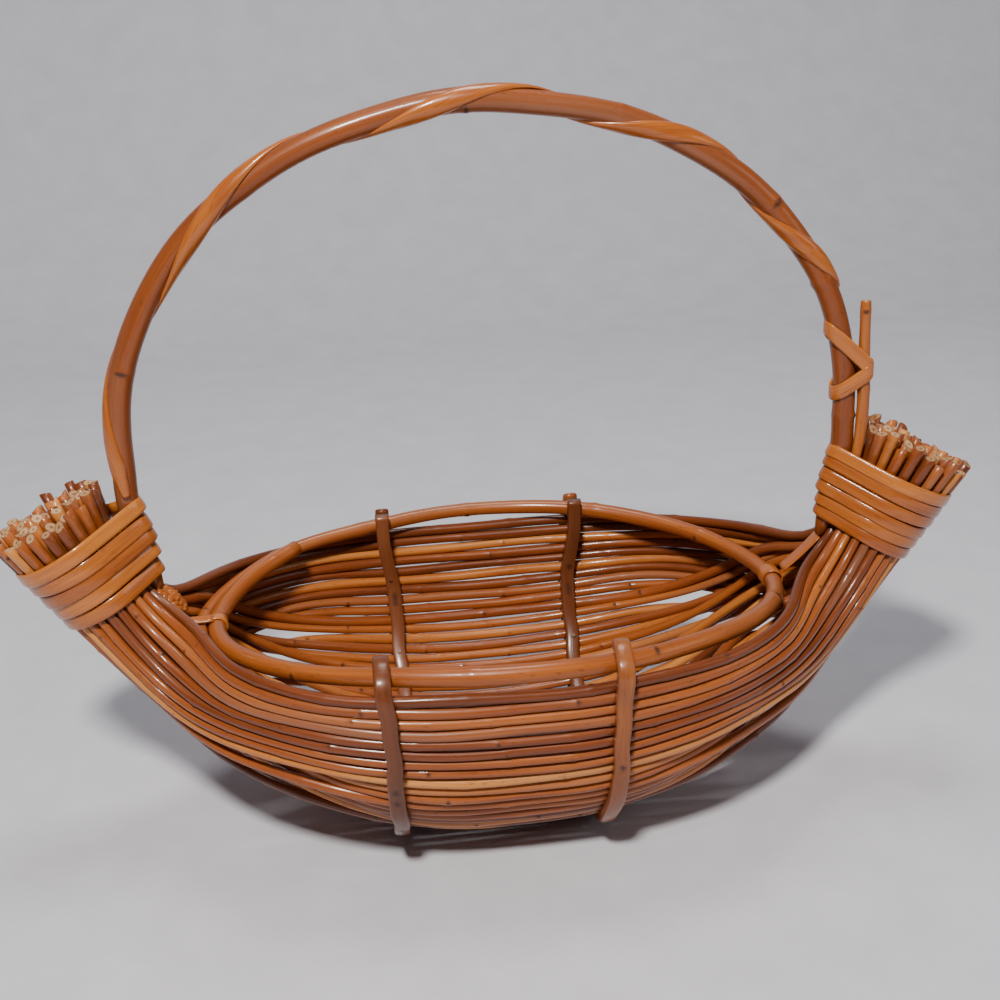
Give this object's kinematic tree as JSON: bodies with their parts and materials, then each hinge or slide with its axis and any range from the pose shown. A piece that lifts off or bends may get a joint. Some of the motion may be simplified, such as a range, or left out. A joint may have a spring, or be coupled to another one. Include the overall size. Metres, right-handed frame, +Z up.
{
  "type": "woven wicker basket",
  "caption": "Boat-shaped basket of long varnished willow rods gathered into a bound, upturned bundle at each end, with a rim hoop, ribs and a tall bent handle.",
  "frame": {"origin": "centre of the basket at mid length, on the surface it stands on", "axes": "+X along the rods towards the handle leg with the side rod, +Y towards the back wall, +Z up"},
  "size_m": [0.4415, 0.1975, 0.3286],
  "materials": {
    "willow_rods": "clear gloss varnish over whole willow rods",
    "willow_poles": "clear gloss varnish over thick willow rods",
    "split_ribs": "clear gloss varnish over split willow",
    "binding_cane": "gloss flat rattan cane",
    "brads": "dark oxidised steel"
  },
  "bodies": {
    "root": {"front_rod_1": "willow_rods", "front_rod_2": "willow_rods", "front_rod_3": "willow_rods", "front_rod_4": "willow_rods", "front_rod_5": "willow_rods", "front_rod_6": "willow_rods", "front_rod_7": "willow_rods", "front_rod_8": "willow_rods", "front_rod_9": "willow_rods", "front_rod_10": "willow_rods", "front_rod_11": "willow_rods", "front_rod_12": "willow_rods", "front_rod_13": "willow_rods", "front_rod_14": "willow_rods", "base_rods_1": "willow_rods", "base_rods_2": "willow_rods", "base_rods_3": "willow_rods", "base_rods_4": "willow_rods", "base_rods_5": "willow_rods", "base_rods_6": "willow_rods", "base_rods_7": "willow_rods", "base_rods_8": "willow_rods", "base_rods_9": "willow_rods", "base_rods_10": "willow_rods", "back_rod_1": "willow_rods", "back_rod_2": "willow_rods", "back_rod_3": "willow_rods", "back_rod_4": "willow_rods", "back_rod_5": "willow_rods", "back_rod_6": "willow_rods", "back_rod_7": "willow_rods", "back_rod_8": "willow_rods", "back_rod_9": "willow_rods", "back_rod_10": "willow_rods", "back_rod_11": "willow_rods", "back_rod_12": "willow_rods", "back_rod_13": "willow_rods", "back_rod_14": "willow_rods", "rim_hoop": "willow_poles", "outer_rib_left": "split_ribs", "outer_rib_right": "split_ribs", "inner_rib_left": "split_ribs", "inner_rib_right": "split_ribs", "rib_brads": "brads", "handle_pole": "willow_poles", "handle_wrap": "binding_cane", "handle_side_rod": "willow_poles", "side_rod_tie": "binding_cane", "collar_left": "binding_cane", "collar_right": "binding_cane", "rim_tie_left": "binding_cane", "braid_left": "binding_cane", "rim_tie_right": "binding_cane", "foot_tie_right": "binding_cane"}
  },
  "joints": []
}
